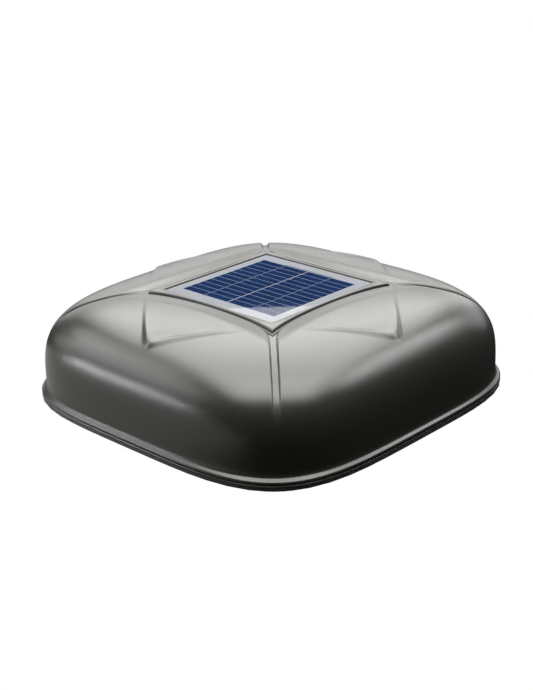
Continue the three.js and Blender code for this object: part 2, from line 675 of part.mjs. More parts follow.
piece("thermostat_bracket", thermostatBracket(), "galvanised");
piece("thermostat", thermostat(), "blackPlastic");
const leadZ = PANEL_BACK - GAP - 7;
piece("panel_lead", lead([
  [-24, 0, leadZ], [-44, 0, leadZ], [-60, 3, leadZ - 6], [-71, 5, leadZ - 26], [-70, 5, leadZ - 50],
  [-66, 4, leadZ - 70], [-70, 4, THERMOSTAT.z + 3], [-77, 4, THERMOSTAT.z + 3],
], 2.2, 22), "rubber");
piece("motor_lead", lead([
  [-77, -4, THERMOSTAT.z + 3], [-70, -4, THERMOSTAT.z + 3], [-60, -4, THERMOSTAT.z + 12], [-58, -3, 134],
  [-54, -1, CAN_TOP + 1], [-47, 0, CAN_TOP + 5], [-38, 0, CAN_TOP + 5],
], 2.2, 18), "rubber");

export default root;
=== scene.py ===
"""Solar attic fan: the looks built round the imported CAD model."""

import math

import bpy
import numpy as np
from mathutils import Matrix, Vector


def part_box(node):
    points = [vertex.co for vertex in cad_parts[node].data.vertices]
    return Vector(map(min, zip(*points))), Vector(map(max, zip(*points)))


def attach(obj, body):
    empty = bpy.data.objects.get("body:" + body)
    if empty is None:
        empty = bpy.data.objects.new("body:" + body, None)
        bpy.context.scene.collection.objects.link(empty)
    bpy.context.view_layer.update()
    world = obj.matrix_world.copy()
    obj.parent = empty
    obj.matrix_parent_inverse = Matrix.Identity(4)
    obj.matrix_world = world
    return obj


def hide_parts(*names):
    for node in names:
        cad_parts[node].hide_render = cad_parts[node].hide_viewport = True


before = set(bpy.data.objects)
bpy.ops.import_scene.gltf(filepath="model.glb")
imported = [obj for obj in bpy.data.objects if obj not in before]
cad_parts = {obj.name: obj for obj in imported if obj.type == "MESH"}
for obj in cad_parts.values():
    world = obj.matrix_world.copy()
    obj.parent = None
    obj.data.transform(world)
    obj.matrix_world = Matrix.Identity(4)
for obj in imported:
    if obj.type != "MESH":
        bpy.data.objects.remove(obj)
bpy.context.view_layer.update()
MM = 0.001

# ---------------------------------------------------------------- the hood's form, in millimetres
#
# Heights here are above the rim's underside, which lies RIM_Z above the roof deck. rho is a share of the
# hood's half-width, 0 on the axis and 1 at the rim.

HOOD_HALF = 320.0  # half the hood's width at its rim
RIM_Z = 25.0
RIM_SQUARENESS = 4.2  # exponent of the superellipse that a level curve follows
SQUARENESS_LOSS = 0.8  # how much rounder the curves are near the crown
CROWN = 178.5  # the smooth dome's height on the axis, without petals and panel
DOME_POWER = 3
DOME_ROUND = 0.21
WALL_RHO = 0.9785  # where the wall stands upright
HOOD_SKIN = 3.2

STAR_HALF = 142.0  # the crown frame's corners
STAR_MID = 128.0  # its sides where they curve in most
STAR_ARC = ((STAR_HALF - STAR_MID) ** 2 + STAR_HALF**2) / (2 * (STAR_HALF - STAR_MID))
STAR_CENTRE = STAR_MID + STAR_ARC
PANEL_HALF = 120.0
RECESS_HALF = PANEL_HALF + 1.0
WINDOW_HALF = 106.0  # opening under the panel
GLASS_TOP = 174.3
FRAME_LEVEL = GLASS_TOP + 1.0  # the crown frame beside the glass
FRAME_BLEND = 18.0  # from that level to the dome's
FRAME_ROLL = 2.8  # the frame's edge into its groove
RECESS_FLOOR = GLASS_TOP - 7.0
RECESS_SKIN = 3.0
RECESS_ROUND, RECESS_ROUND_MIDDLE = 1.2, 0.35

PETAL_LIFT = 2.6  # height above the dome
PETAL_END, PETAL_FADE = 0.83, 0.14  # rho where the lift starts to fade, and over how much
PETAL_DIP = 1.6  # depth below the dome beside the crown frame
DIP_WIDTH = 34.0
PETAL_CORNER = 14.0  # radius of the petals' corners in plan
PETAL_ROLL = 5.0  # the petals' edges into the grooves

FRAME_GROOVE = 5.0  # depth of the groove round the crown frame
GROOVE_HALF = 1.9
GROOVE_FLAT, GROOVE_BLEND = 1.0, 7.0  # where its depth starts to change into the seams', and over how much
SEAM_GROOVE = 2.4  # depth of the four seams
SEAM_HALF, SEAM_TAPER = 4.6, 3.6  # half-width, and how much of it the foot loses
SEAM_END, SEAM_FADE, SEAM_NARROWING = 0.93, 0.047, 0.045

STEP_POINT = 270.0  # the raised V's point, from the axis
STEP_HEIGHT = 4.8
STEP_WIDTH, STEP_LEAST_WIDTH = 4.6, 0.8  # the sloping face along the V's edge
STEP_LIP, STEP_LEAST_LIP = 16.0, 2.0  # behind the face, where the V sinks by STEP_FALL of its height
STEP_FALL = 0.5
STEP_LENGTH, STEP_TAPER = 160.0, 1.3
STEP_NOSE = 9.0  # rounding of the point
STEP_SLOPE = 0.95


def smooth(t):
    """An eased step from 0 to 1."""
    t = np.clip(t, 0, 1)
    return t * t * (3 - 2 * t)


def rolled(t):
    """A quarter-round: 0 at an edge, level with the top at 1."""
    return np.sqrt(1 - (1 - np.clip(t, 0, 1)) ** 2)


def ramp(t, soft=0.14):
    """A straight slope from 0 to 1 whose two corners are eased."""
    low = (t + soft) ** 2 / (4 * soft)
    high = 1 - (1 + soft - t) ** 2 / (4 * soft)
    eased = np.where(t < soft, low, np.where(t > 1 - soft, high, t))
    return np.where(t <= -soft, 0.0, np.where(t >= 1 + soft, 1.0, eased))


def squareness(rho):
    return RIM_SQUARENESS - SQUARENESS_LOSS * np.minimum(1, 2 * (1 - rho))


def oval_radius(rho, angle):
    """Distance from the axis of the level curve of a rho, at an angle."""
    n = squareness(rho)
    return rho * HOOD_HALF * (abs(np.cos(angle)) ** n + abs(np.sin(angle)) ** n) ** (-1 / n)


def rho_at(x, y):
    """The rho of the level curve through a point."""
    rho = np.maximum(abs(x), abs(y)) / HOOD_HALF
    for _ in range(6):
        n = squareness(rho)
        rho = (abs(x) ** n + abs(y) ** n) ** (1 / n) / HOOD_HALF
    return rho


def smooth_height(rho):
    return CROWN * np.maximum(0, 1 - (rho / WALL_RHO) ** DOME_POWER) ** DOME_ROUND


# The same dome by a parameter that runs from 0 at the crown to a right angle at the wall's foot.
def section_rho(theta):
    return WALL_RHO * np.sin(theta) ** (2 / DOME_POWER)


def section_height(theta):
    return CROWN * np.cos(theta) ** (2 * DOME_ROUND)


def folded_cos(angle):
    return np.maximum(abs(np.cos(angle)), abs(np.sin(angle)))


def star_radius(outside, angle):
    """Distance from the axis of the curve that lies this far outside the crown frame's edge."""
    reach = STAR_CENTRE * folded_cos(angle)
    return reach - np.sqrt(reach**2 - STAR_CENTRE**2 + (STAR_ARC - outside) ** 2)


def square_radius(half, angle):
    return half / folded_cos(angle)


def step_height(out, across):
    """The raised V in each petal, which fades out towards the crown frame's corners."""
    arm = np.array([-STEP_SLOPE, 1.0]) / math.hypot(STEP_SLOPE, 1)
    side = np.hypot(across, STEP_NOSE) - STEP_NOSE
    inside = -(out - STEP_POINT) * arm[1] + side * arm[0]
    along = np.clip(((out - STEP_POINT) * arm[0] + side * arm[1]) / STEP_LENGTH, 0, 1)
    share = (1 - along) ** STEP_TAPER
    face = STEP_WIDTH * share + STEP_LEAST_WIDTH
    fall = STEP_FALL * smooth((inside - face) / (STEP_LIP * share + STEP_LEAST_LIP))
    return STEP_HEIGHT * share * (ramp(inside / face) - fall)


def top_height(x, y):
    """Height of the hood's outer face: the dome, the petals on it, and the grooves between them."""
    out, across = np.maximum(abs(x), abs(y)), np.minimum(abs(x), abs(y))
    rho = rho_at(x, y)
    outside = STAR_ARC - np.hypot(out - STAR_CENTRE, across)
    off_seam = (out - across) / math.sqrt(2)
    fade = 1 - smooth((rho - SEAM_END) / SEAM_FADE)
    channel = SEAM_HALF - SEAM_TAPER * smooth((rho - SEAM_END) / SEAM_NARROWING)
    short_frame = np.maximum(PETAL_CORNER - (outside - GROOVE_HALF), 0)
    short_seam = np.maximum(PETAL_CORNER - (off_seam - channel), 0)
    petal = rolled((PETAL_CORNER - np.hypot(short_frame, short_seam)) / PETAL_ROLL)
    lift = PETAL_LIFT * (1 - smooth((rho - PETAL_END) / PETAL_FADE)) + step_height(out, across)
    lift = lift - (PETAL_LIFT + PETAL_DIP) * (1 - smooth((outside - GROOVE_HALF) / DIP_WIDTH))
    near_frame = 1 - smooth((outside - GROOVE_FLAT) / GROOVE_BLEND)
    depth = SEAM_GROOVE * fade + (FRAME_GROOVE - SEAM_GROOVE * fade) * near_frame
    on_petal = lift * petal - depth * (1 - petal)
    on_frame = -FRAME_GROOVE * (1 - rolled((-outside - GROOVE_HALF) / FRAME_ROLL))
    base = smooth_height(rho)
    level = base + (FRAME_LEVEL - base) * (1 - smooth((out - RECESS_HALF) / FRAME_BLEND))
    return np.where(outside > 0, base + on_petal, level + on_frame)


# ---------------------------------------------------------------- mesh helpers


def seam_angles():
    """Angles round the hood, closest together at the seams."""
    fine = [0.0, 0.12, 0.24, 0.36, 0.48, 0.6, 0.72, 0.85, 1.0, 1.15, 1.3, 1.5, 1.75, 2.05, 2.4, 2.8, 3.3]
    coarse = np.linspace(3.8, 45, 72)
    back = 45 - np.array(fine + list(coarse))[::-1]
    octant = np.radians(back)
    quarter = np.concatenate([octant[:-1], (math.pi / 2 - octant)[::-1][:-1]])
    return np.concatenate([quarter + k * math.pi / 2 for k in range(4)])


def mesh_object(name, vertices, faces, slot, node=None, flat=False):
    """A mesh on the housing, in place of a CAD node if one is named."""
    mesh = bpy.data.meshes.new(name)
    mesh.from_pydata([tuple(v) for v in vertices], [], [tuple(f) for f in faces])
    mesh.validate()
    if not flat:
        mesh.shade_smooth()
    obj = bpy.data.objects.new(name, mesh)
    bpy.context.scene.collection.objects.link(obj)
    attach(obj, "housing")
    if node:
        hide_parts(node)
    return obj


def ring_faces(stations, around, start=0):
    """Faces of a closed ring: rows of vertices, one after another, each joined to the next."""
    faces = []
    for s in range(stations):
        here, there = start + s * around, start + (s + 1) % stations * around
        for a in range(around):
            b = (a + 1) % around
            faces.append((here + a, here + b, there + b, there + a))
    return faces


def ring_object(name, angles, stations, **rest):
    """A closed ring from stations, each (radii, heights) in millimetres, in order round its section."""
    rows = []
    for radii, heights in stations:
        r = np.broadcast_to(radii, angles.shape)
        z = np.broadcast_to(heights, angles.shape)
        rows.append(np.stack([r * np.cos(angles), r * np.sin(angles), z], 1))
    vertices = np.concatenate(rows) * MM
    faces = [f[::-1] for f in ring_faces(len(stations), len(angles))]
    return mesh_object(name, vertices, faces, **rest)


# ---------------------------------------------------------------- hood


SHOULDER = 32  # degrees of the section's parameter where the stations turn from even steps to ovals
SECTION_END = 89.95
WALL_INSET = HOOD_HALF * (1 - WALL_RHO)
FOOT_TOP = 34  # lowest station of the wall that follows the dome

# Distances off the crown frame's edge of the stations across its groove.
ACROSS_GROOVE = [-4.6, -4.0, -3.4, -3.1, -2.7, -2.4, -2.15, -2.0, -1.93, -1.9, 0]
ACROSS_GROOVE += [1.9, 1.96, 2.1, 2.35, 2.7, 3.1, 3.6, 4.2, 4.9, 5.7, 6.4, 7]

# The wall's foot flares out to the rim: a rounded ledge, a groove round its face and a plain edge. Each
# point is its distance inside the rim's face and its height.
FOOT = [(WALL_INSET, 31), (WALL_INSET - 0.1, 26.0), (WALL_INSET - 0.3, 22.0)]
FOOT += [(WALL_INSET - 0.7, 19.6), (WALL_INSET - 1.4, 17.9), (WALL_INSET - 2.6, 16.7)]
FOOT += [(3.2, 16.0), (2.1, 15.2), (1.3, 14.6), (0.6, 13.9), (0.15, 13.0), (0.0, 12.0)]
FOOT += [(0.0, 10.2), (0.25, 9.8), (0.9, 9.4), (1.0, 8.8), (0.9, 8.2), (0.25, 7.8), (0.0, 7.3)]
FOOT += [(0.0, 6.0), (0.25, 5.5), (0.7, 5.4), (3.4, 5.4), (3.8, 5.8), (3.8, 8.5)]
FOOT += [(WALL_INSET + HOOD_SKIN, 23)]

INNER_DEGREES = (85, 78, 70, 62, 54, 46, 40)
INNER_RECESS = 8.0  # how far outside the crown frame the recess's underside ends


def hood_stations(angles):
    """The shell's section, from the panel's window over the top, down to the rim and back inside."""

    def on_top(radii):
        return radii, RIM_Z + top_height(radii * np.cos(angles), radii * np.sin(angles))

    def oval(rho):
        return oval_radius(rho, angles)

    floor = RIM_Z + RECESS_FLOOR
    window = square_radius(WINDOW_HALF, angles)
    recess = square_radius(RECESS_HALF, angles)
    edge_r, edge_z = on_top(square_radius(RECESS_HALF + RECESS_ROUND, angles))
    stations = [(window, floor), (recess, floor), (recess, edge_z - RECESS_ROUND)]
    stations += [(recess + RECESS_ROUND_MIDDLE, edge_z - RECESS_ROUND_MIDDLE), (edge_r, edge_z)]
    frame_end = star_radius(ACROSS_GROOVE[0], angles)
    for share in (0.12, 0.3, 0.5, 0.7, 0.88):
        stations.append(on_top(edge_r + (frame_end - edge_r) * share))
    for outside in ACROSS_GROOVE:
        stations.append(on_top(star_radius(outside, angles)))
    inner = star_radius(ACROSS_GROOVE[-1], angles)
    outer = oval(section_rho(math.radians(SHOULDER)))
    for share in np.linspace(0, 1, 32)[1:-1]:
        stations.append(on_top(inner + (outer - inner) * share))
    theta = np.radians(np.linspace(SHOULDER, SECTION_END, 600))
    run = np.hypot(np.diff(section_rho(theta) * HOOD_HALF), np.diff(section_height(theta)))
    run = np.concatenate([[0], np.cumsum(run)])
    for t in np.interp(np.linspace(0, run[-1], 96), run, theta):
        if section_height(t) > FOOT_TOP:
            stations.append(on_top(oval(section_rho(t))))
    for inset, z in FOOT:
        stations.append((oval((HOOD_HALF - inset) / HOOD_HALF), RIM_Z + z))
    for t in (math.radians(degrees) for degrees in INNER_DEGREES):
        z = section_height(t) - 2 * HOOD_SKIN * math.cos(t) ** 0.3
        stations.append((oval(section_rho(t)) - HOOD_SKIN, RIM_Z + z))
    stations.append((star_radius(INNER_RECESS, angles), floor - RECESS_SKIN))
    stations.append((window, floor - RECESS_SKIN))
    return stations


BOSS_R = 250.0  # the bosses' distance from the axis
BOSS_LOW = 70.3
BOSS_FOOT, BOSS_HEAD, BOSS_ROUND = 9.0, 13.0, 0.8
BOSS_COVER = 2.5  # from a boss's top to the hood's outer face
PILOT_R, PILOT_DEPTH, PILOT_CHAMFER = 2.5, 26.0, 0.6
AXIS_R = 0.01  # radius of a revolved end that would close on its axis


def make_bosses():
    """Four tapered bosses inside the corners, each with a pilot hole for its screw."""
    around = 32
    turn = np.linspace(0, 2 * math.pi, around, endpoint=False)
    vertices, faces = [], []
    for corner in range(4):
        middle = math.radians(45 + 90 * corner)
        x, y = BOSS_R * math.cos(middle), BOSS_R * math.sin(middle)
        top = RIM_Z + float(top_height(np.array(x), np.array(y))) - BOSS_COVER
        bed = BOSS_LOW + PILOT_DEPTH
        profile = [(AXIS_R, bed), (PILOT_R, bed), (PILOT_R, BOSS_LOW + PILOT_CHAMFER)]
        profile += [(PILOT_R + PILOT_CHAMFER, BOSS_LOW), (BOSS_FOOT - BOSS_ROUND, BOSS_LOW)]
        profile += [(BOSS_FOOT, BOSS_LOW + BOSS_ROUND), (BOSS_HEAD, top), (AXIS_R, top)]
        start = len(vertices)
        for r, z in profile:
            for c, s in zip(np.cos(turn), np.sin(turn)):
                vertices.append(((x + r * c) * MM, (y + r * s) * MM, z * MM))
        faces += [f[::-1] for f in ring_faces(len(profile), around, start)]
    return vertices, faces


def make_hood():
    """The shell with its bosses joined to it."""
    angles = seam_angles()
    shell = ring_object("hood_shell", angles, hood_stations(angles), node="dome_hood", slot="hood")
    bosses = bpy.data.objects.new("bosses", bpy.data.meshes.new("bosses"))
    vertices, faces = make_bosses()
    bosses.data.from_pydata(vertices, [], faces)
    bosses.data.shade_smooth()
    bpy.context.scene.collection.objects.link(bosses)
    with bpy.context.temp_override(active_object=shell, selected_editable_objects=[shell, bosses]):
        bpy.ops.object.join()
    return shell


hood = make_hood()

# ---------------------------------------------------------------- materials


class Nodes:
    """A small helper round a material's node tree."""

    def __init__(self, name):
        self.material = bpy.data.materials.new(name)
        self.material.use_nodes = True
        self.tree = self.material.node_tree
        self.shader = self.tree.nodes["Principled BSDF"]

    def add(self, kind, inputs=None, **settings):
        made = self.tree.nodes.new(kind)
        for key, value in settings.items():
            setattr(made, key, value)
        for key, value in (inputs or {}).items():
            self.put(made.inputs[key], value)
        return made

    def put(self, socket, value):
        if isinstance(value, bpy.types.NodeSocket):
            self.tree.links.new(value, socket)
        else:
            socket.default_value = value

    def set(self, **inputs):
        for key, value in inputs.items():
            self.put(self.shader.inputs[key.replace("_", " ")], value)

    def place(self, scale=(1, 1, 1)):
        source = self.add("ShaderNodeTexCoord").outputs["Object"]
        return self.add("ShaderNodeMapping", {"Vector": source, "Scale": scale}).outputs[0]

    def noise(self, scale, detail=3.0, roughness=0.5, stretch=(1, 1, 1)):
        inputs = {"Vector": self.place(stretch), "Scale": scale, "Detail": detail, "Roughness": roughness}
        return self.add("ShaderNodeTexNoise", inputs).outputs[0]

    def cells(self, scale, output="Color", stretch=(1, 1, 1)):
        inputs = {"Vector": self.place(stretch), "Scale": scale}
        return self.add("ShaderNodeTexVoronoi", inputs).outputs[output]

    def calc(self, operation, a, b=0.0):
        return self.add("ShaderNodeMath", {0: a, 1: b}, operation=operation).outputs[0]

    def between(self, value, low, high, start=0.0, end=1.0):
        """The value's range from start to end, mapped to low to high."""
        inputs = {"Value": value, "From Min": start, "From Max": end, "To Min": low, "To Max": high}
        return self.add("ShaderNodeMapRange", inputs).outputs[0]

    def mix(self, factor, a, b):
        made = self.add("ShaderNodeMix", data_type="RGBA")
        self.put(made.inputs[0], factor)
        self.put(made.inputs[6], a)
        self.put(made.inputs[7], b)
        return made.outputs[2]

    def under_cover(self):
        """The sheet lies bonded under glass: only the glass over it is glossy."""
        self.shader.inputs["Specular IOR Level"].default_value = 0.0
        self.shader.inputs["Coat Weight"].default_value = 1.0
        self.shader.inputs["Coat Roughness"].default_value = 0.02

    def bump(self, height, strength, distance, normal=None):
        inputs = {"Height": height, "Strength": strength, "Distance": distance}
        if normal is not None:
            inputs["Normal"] = normal
        return self.add("ShaderNodeBump", inputs).outputs[0]

    def convex_edge_share(self):
        """How much lighter a convex edge is made, from the mesh's curvature."""
        return self.between(self.add("ShaderNodeNewGeometry").outputs["Pointiness"], 0, 1, 0.52, 0.6)


def colour(r, g, b):
    return (r, g, b, 1.0)


def grey(v):
    return colour(v, v, v)


def scaled(c, share):
    return colour(*(v * share for v in c[:3]))


def plastic(name, base, edge, rough, grain=0.08):
    """Moulded plastic: two fine grains, slight fading, and convex edges a little lighter."""
    m = Nodes(name)
    tone = m.mix(m.between(m.noise(7, 4), 0, 1, 0.35, 0.7), base, scaled(base, 0.88))
    m.set(Base_Color=m.mix(m.convex_edge_share(), tone, edge))
    m.set(Roughness=m.between(m.noise(60, 4), rough - 0.015, rough + 0.02, 0.3, 0.7))
    fine = m.bump(m.noise(1600, 2), 0.25, 0.0002)
    m.set(Normal=m.bump(m.noise(420, 2), grain, 0.0005, fine))
    return m.material


def metal(name, base, rough, stretch=(1, 1, 1), scale=300, scratch=0.1):
    """Bare metal with drawn or turned marks, smudges and a brighter edge."""
    m = Nodes(name)
    marks = m.noise(scale, 5, 0.6, stretch)
    smudge = m.between(m.noise(25, 4), 0, 1, 0.4, 0.75)
    tone = m.mix(smudge, base, scaled(base, 0.7))
    m.set(Base_Color=m.mix(m.convex_edge_share(), tone, scaled(base, 1.25)), Metallic=1.0)
    m.set(Roughness=m.between(marks, rough - 0.08, rough + 0.12, 0.3, 0.7))
    m.set(Normal=m.bump(marks, scratch, 0.0003))
    return m.material


SPANGLE = 140  # crystals per metre
LAMINATION_PITCH = 0.0008
WIRE_PITCH = 0.0009
FINGER_PITCH = 0.00105


def galvanised():
    """Hot-dipped sheet: flat crystals a few millimetres across, each with its own tone and sheen."""
    m = Nodes("galvanised_sheet")
    spangle = m.cells(SPANGLE)
    tone = m.add("ShaderNodeSeparateColor", {0: spangle}).outputs[0]
    streak = m.between(m.noise(18, 5), 0, 1, 0.45, 0.8)
    base = m.mix(tone, colour(0.36, 0.38, 0.39), colour(0.56, 0.58, 0.6))
    m.set(Base_Color=m.mix(streak, base, colour(0.3, 0.31, 0.31)), Metallic=0.85)
    m.set(Roughness=m.between(tone, 0.3, 0.52))
    m.set(Normal=m.bump(m.cells(SPANGLE, "Distance"), 0.05, 0.0004))
    return m.material


def rubber(name, base):
    """Rubber with a dull bloom."""
    m = Nodes(name)
    bloom = m.between(m.noise(45, 5), 0, 1, 0.4, 0.8)
    m.set(Base_Color=m.mix(bloom, base, colour(0.06, 0.06, 0.058)))
    m.set(Roughness=m.between(m.noise(200, 3), 0.6, 0.85, 0.3, 0.7))
    m.set(Normal=m.bump(m.noise(700, 3, 0.5), 0.15, 0.0003))
    return m.material


def laminations():
    """Thin steel sheets stacked along the shaft."""
    m = Nodes("laminations")
    height = m.add("ShaderNodeSeparateXYZ", {0: m.place()}).outputs[2]
    wave = m.calc("SINE", m.calc("MULTIPLY", height, 2 * math.pi / LAMINATION_PITCH))
    rust = m.between(m.noise(90, 4), 0, 1, 0.5, 0.75)
    tone = m.mix(m.between(wave, 0, 1, -1, 1), grey(0.18), grey(0.42))
    m.set(Base_Color=m.mix(rust, tone, colour(0.22, 0.15, 0.1)), Metallic=0.9)
    m.set(Roughness=m.between(wave, 0.35, 0.6, -1, 1), Normal=m.bump(wave, 0.4, 0.0002))
    return m.material


def copper():
    """Enamelled wire laid in turns."""
    m = Nodes("copper_wire")
    spot = m.add("ShaderNodeSeparateXYZ", {0: m.place()})
    squares = m.calc("ADD", m.calc("POWER", spot.outputs[0], 2.0), m.calc("POWER", spot.outputs[1], 2.0))
    along = m.calc("ADD", m.calc("POWER", squares, 0.5), spot.outputs[2])
    wave = m.calc("SINE", m.calc("MULTIPLY", along, 2 * math.pi / WIRE_PITCH))
    tone = m.mix(m.between(wave, 0, 1, -1, 1), colour(0.3, 0.1, 0.035), colour(0.72, 0.32, 0.14))
    m.set(Base_Color=tone, Metallic=0.85, Normal=m.bump(wave, 0.5, 0.0003))
    m.set(Roughness=m.between(m.noise(80, 3), 0.25, 0.42, 0.3, 0.7))
    m.shader.inputs["Coat Weight"].default_value = 0.5
    return m.material


def silicon():
    """Blue polycrystalline cells: crystals of many tones crossed by thin printed fingers."""
    m = Nodes("solar_silicon")
    grain = m.add("ShaderNodeSeparateColor", {0: m.cells(130, stretch=(1, 1.7, 1))}).outputs[0]
    patch = m.between(m.noise(28, 3), 0, 1, 0.35, 0.65)
    tone = m.mix(grain, colour(0.0004, 0.005, 0.024), colour(0.0013, 0.012, 0.048))
    tone = m.mix(m.calc("MULTIPLY", patch, 0.6), tone, colour(0.0008, 0.0055, 0.026))
    along = m.add("ShaderNodeSeparateXYZ", {0: m.place()}).outputs[0]
    stripe = m.calc("PINGPONG", along, FINGER_PITCH)
    finger = m.between(stripe, 0.5, 0, 0.0001, 0.0002)
    m.set(Base_Color=m.mix(finger, tone, colour(0.009, 0.017, 0.04)), Metallic=0.0)
    m.set(Roughness=m.between(grain, 0.25, 0.4))
    m.under_cover()
    m.set(Normal=m.bump(stripe, 0.05, 0.0001))
    return m.material


def under_glass(name, base, rough, metallic=0.0):
    """A plain sheet or ribbon bonded under the cover glass."""
    m = Nodes(name)
    cloud = m.between(m.noise(40, 4), 0, 1, 0.4, 0.7)
    m.set(Base_Color=m.mix(cloud, base, scaled(base, 0.93)), Metallic=metallic)
    m.set(Roughness=m.between(m.noise(150, 3), rough, rough + 0.1, 0.3, 0.7))
    m.under_cover()
    return m.material


def glass():
    """Clear cover glass: all but transparent, with a trace of dust."""
    m = Nodes("panel_glass")
    dust = m.between(m.noise(55, 6, 0.6), 0.002, 0.006, 0.4, 0.75)
    m.set(Base_Color=colour(0.3, 0.31, 0.33), Alpha=dust)
    m.set(Roughness=m.between(m.noise(60, 3), 0.02, 0.04, 0.3, 0.7))
    return m.material


def ceramic(name, base, rough):
    """Pressed powder with fine pits."""
    m = Nodes(name)
    pits = m.noise(900, 4, 0.7)
    m.set(Base_Color=m.mix(m.between(pits, 0, 1, 0.4, 0.7), base, scaled(base, 1.5)))
    m.set(Roughness=m.between(pits, rough - 0.1, rough + 0.1, 0.3, 0.7), Normal=m.bump(pits, 0.3, 0.0002))
    return m.material


hood_plastic = plastic("hood_plastic", colour(0.015, 0.015, 0.0135), colour(0.025, 0.025, 0.023), 0.3)
ring_plastic = plastic("ring_plastic", grey(0.018), grey(0.035), 0.4)
black_plastic = plastic("black_plastic", grey(0.02), grey(0.05), 0.42, 0.15)
galvanised_sheet = galvanised()
steel = metal("bright_steel", grey(0.55), 0.28, (1, 1, 12))
can_steel = metal("can_steel", colour(0.32, 0.33, 0.34), 0.32, (1, 1, 20), 150, 0.06)
cast_aluminium = metal("cast_aluminium", grey(0.58), 0.42, (1, 1, 1), 500, 0.3)
blade_aluminium = metal("blade_aluminium", grey(0.62), 0.3, (8, 1, 8), 120, 0.06)
cable_jacket = rubber("cable_jacket", grey(0.018))
sealant = rubber("sealant", grey(0.12))
silicon_cell = silicon()
backsheet = under_glass("panel_backsheet", colour(0.135, 0.142, 0.158), 0.4)
ribbon = under_glass("cell_ribbon", colour(0.045, 0.06, 0.09), 0.35, 0.2)
panel_glass = glass()
ferrite = ceramic("ferrite", grey(0.045), 0.6)
carbon = ceramic("carbon", grey(0.02), 0.5)


def paint(obj, *materials):
    """Gives an object these materials and no others."""
    obj.data.materials.clear()
    for m in materials:
        obj.data.materials.append(m)


paint(hood, hood_plastic)

# ---------------------------------------------------------------- solar panel


BEVEL_ANGLE = math.radians(35)  # sharper edges than this are eased


def slabs(boxes):
    """Vertices and faces of boxes, each given by its lowest and highest corner in millimetres."""
    vertices, faces = [], []
    for low, high in boxes:
        start = len(vertices)
        for k in range(8):
            vertices.append([(high if k >> axis & 1 else low)[axis] * MM for axis in range(3)])
        sides = [(0, 2, 3, 1), (4, 5, 7, 6), (0, 1, 5, 4), (2, 6, 7, 3), (0, 4, 6, 2), (1, 3, 7, 5)]
        faces += [tuple(start + v for v in side) for side in sides]
    return vertices, faces


def bevel(obj, width):
    modifier = obj.modifiers.new("bevel", "BEVEL")
    modifier.width = width * MM
    modifier.segments = 2
    modifier.limit_method = "ANGLE"
    modifier.angle_limit = BEVEL_ANGLE


CELL_ROWS = 12
CELL_X = 102.0  # half the cell area's width
CELL_Y = 96.5
ROW_GAP = 1.1
STRING_GAP = 2.2
RIBBON_X = 52.0
RIBBON_WIDTH = 1.7
RIBBON_PAST = 2.0  # how far a ribbon runs past the cells
BUS_NEAR, BUS_FAR = 1.5, 3.4  # the cross ribbon's edges, beyond the cells
BUS_START, BUS_END = 1, 53
COVER = 0.8  # the glass as deep as it looks at a low angle

# Depths below the glass of the sheet's face, and of the lower and upper faces of what lies on it.
SHEET_DEPTH = 0.3
CELL_DEPTHS = 0.28, 0.14
RIBBON_DEPTHS = 0.13, 0.05
BUS_DEPTHS = 0.13, 0.06


def make_cells():
    """The laminate: a pale sheet, two strings of cells on it, and the ribbons that join them."""
    low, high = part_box("cell_laminate")
    base, top = low[2] / MM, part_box("panel_glass")[1][2] / MM - COVER
    half = high[0] / MM

    def slab(x0, x1, y0, y1, depths):
        return (x0, y0, top - depths[0]), (x1, y1, top - depths[1])

    boxes = [((-half, -half, base), (half, half, top - SHEET_DEPTH))]
    pitch = 2 * CELL_Y / CELL_ROWS
    for row in range(CELL_ROWS):
        y = -CELL_Y + row * pitch
        for x0, x1 in ((-CELL_X, -STRING_GAP / 2), (STRING_GAP / 2, CELL_X)):
            boxes.append(slab(x0, x1, y + ROW_GAP / 2, y + pitch - ROW_GAP / 2, CELL_DEPTHS))
    span = CELL_Y + RIBBON_PAST
    for x in (-RIBBON_X, RIBBON_X):
        boxes.append(slab(x - RIBBON_WIDTH / 2, x + RIBBON_WIDTH / 2, -span, span, RIBBON_DEPTHS))
    for x in (-RIBBON_X, 0.0):
        boxes.append(slab(x - BUS_START, x + BUS_END, CELL_Y + BUS_NEAR, CELL_Y + BUS_FAR, BUS_DEPTHS))
    vertices, faces = slabs(boxes)
    cells = mesh_object("solar_cells", vertices, faces, "cells", "cell_laminate", flat=True)
    paint(cells, backsheet, silicon_cell, ribbon)
    for face in cells.data.polygons:
        piece = face.index // 6
        face.material_index = 0 if piece == 0 else 1 if piece <= 2 * CELL_ROWS else 2


def make_glass():
    """The cover glass, only as deep as it looks, just clear of the cells."""
    low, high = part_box("panel_glass")
    low, high = [v / MM for v in low], [v / MM for v in high]
    low[2] = high[2] - COVER + 0.02
    vertices, faces = slabs([(low, high)])
    cover = mesh_object("cover_glass", vertices, faces, "glass", "panel_glass", flat=True)
    paint(cover, panel_glass)
    bevel(cover, 0.25)


make_cells()
make_glass()


# ---------------------------------------------------------------- insect mesh in the exhaust

MESH_PITCH = 3.0
MESH_INSET = 2.4  # behind the screen's face
WIRE = 0.5
CORNERS = ((-1, -1), (1, -1), (1, 1), (-1, 1))  # of a wire's square section


